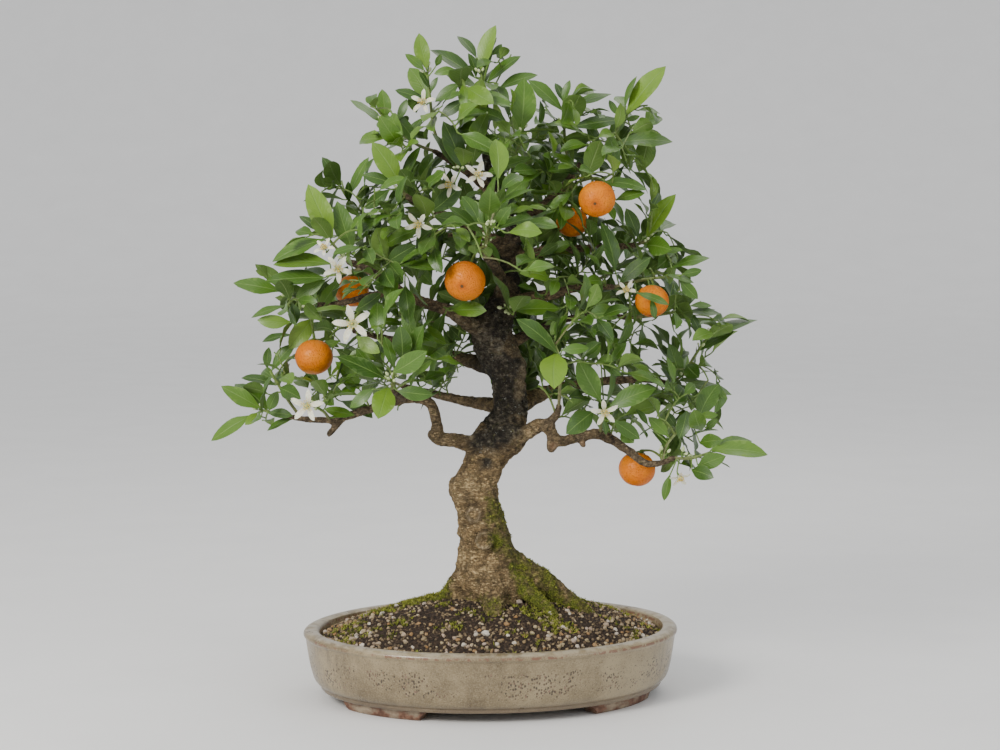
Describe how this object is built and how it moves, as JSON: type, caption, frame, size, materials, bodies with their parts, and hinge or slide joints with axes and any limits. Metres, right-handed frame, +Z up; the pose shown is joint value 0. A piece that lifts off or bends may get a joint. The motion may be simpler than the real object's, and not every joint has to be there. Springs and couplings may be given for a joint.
{
  "type": "citrus bonsai",
  "caption": "Small citrus tree grown as an informal upright bonsai, with orange fruit and white blossom, in a shallow oval glazed pot.",
  "frame": {"origin": "under the middle of the whole tree and pot, on the surface that the pot's feet stand on", "axes": "+Z up, +X to the right along the pot's long side as seen from the front, +Y to the back"},
  "size_m": [0.4418, 0.2788, 0.5307],
  "materials": {
    "glazed_pot": "warm grey speckled glaze with unglazed clay feet",
    "screen_plastic": "dull green plastic mesh",
    "gritty_soil": "loose grit, crumbs and moss",
    "bark": "rough furrowed bark with moss and lichen",
    "foliage": "waxy green leaves and twigs",
    "petals": "soft matt petals",
    "orange_peel": "pitted waxy peel"
  },
  "bodies": {
    "root": {"blossom_centre": "petals", "blossom_left_high": "petals", "blossom_left_large": "petals", "blossom_left_low": "petals", "blossom_left_mid": "petals", "blossom_right_end": "petals", "blossom_right_low": "petals", "blossom_right_mid": "petals", "blossom_top_left": "petals", "blossom_upper_left": "petals", "blossom_upper_right": "petals", "drain_screen_left": "screen_plastic", "drain_screen_right": "screen_plastic", "fruit_behind_left": "orange_peel", "fruit_behind_right": "orange_peel", "fruit_left": "orange_peel", "fruit_lower_right": "orange_peel", "fruit_middle": "orange_peel", "fruit_right": "orange_peel", "fruit_upper_right": "orange_peel", "pot": "glazed_pot", "soil": "gritty_soil", "spray_apex": "foliage", "spray_apex_left": "foliage", "spray_apex_side": "foliage", "spray_back_left": "foliage", "spray_back_low": "foliage", "spray_back_low_left": "foliage", "spray_back_mid": "foliage", "spray_back_right": "foliage", "spray_back_upper": "foliage", "spray_centre_right": "foliage", "spray_far_right": "foliage", "spray_front_mid": "foliage", "spray_fruit_right": "foliage", "spray_left_bloom": "foliage", "spray_left_far": "foliage", "spray_left_front": "foliage", "spray_left_low": "foliage", "spray_left_low_bloom": "foliage", "spray_left_low_rise": "foliage", "spray_left_mid": "foliage", "spray_left_mid_front": "foliage", "spray_left_mid_side": "foliage", "spray_left_top": "foliage", "spray_right_bright": "foliage", "spray_right_low": "foliage", "spray_right_low_bloom": "foliage", "spray_right_low_rise": "foliage", "spray_right_mid": "foliage", "spray_right_outer": "foliage", "spray_right_upper": "foliage", "spray_top_left": "foliage", "spray_top_right": "foliage", "spray_upper_bloom": "foliage", "spray_upper_front": "foliage", "spray_upper_left": "foliage", "spray_upper_left_front": "foliage", "spray_upper_right": "foliage", "wood": "bark"}
  },
  "joints": []
}
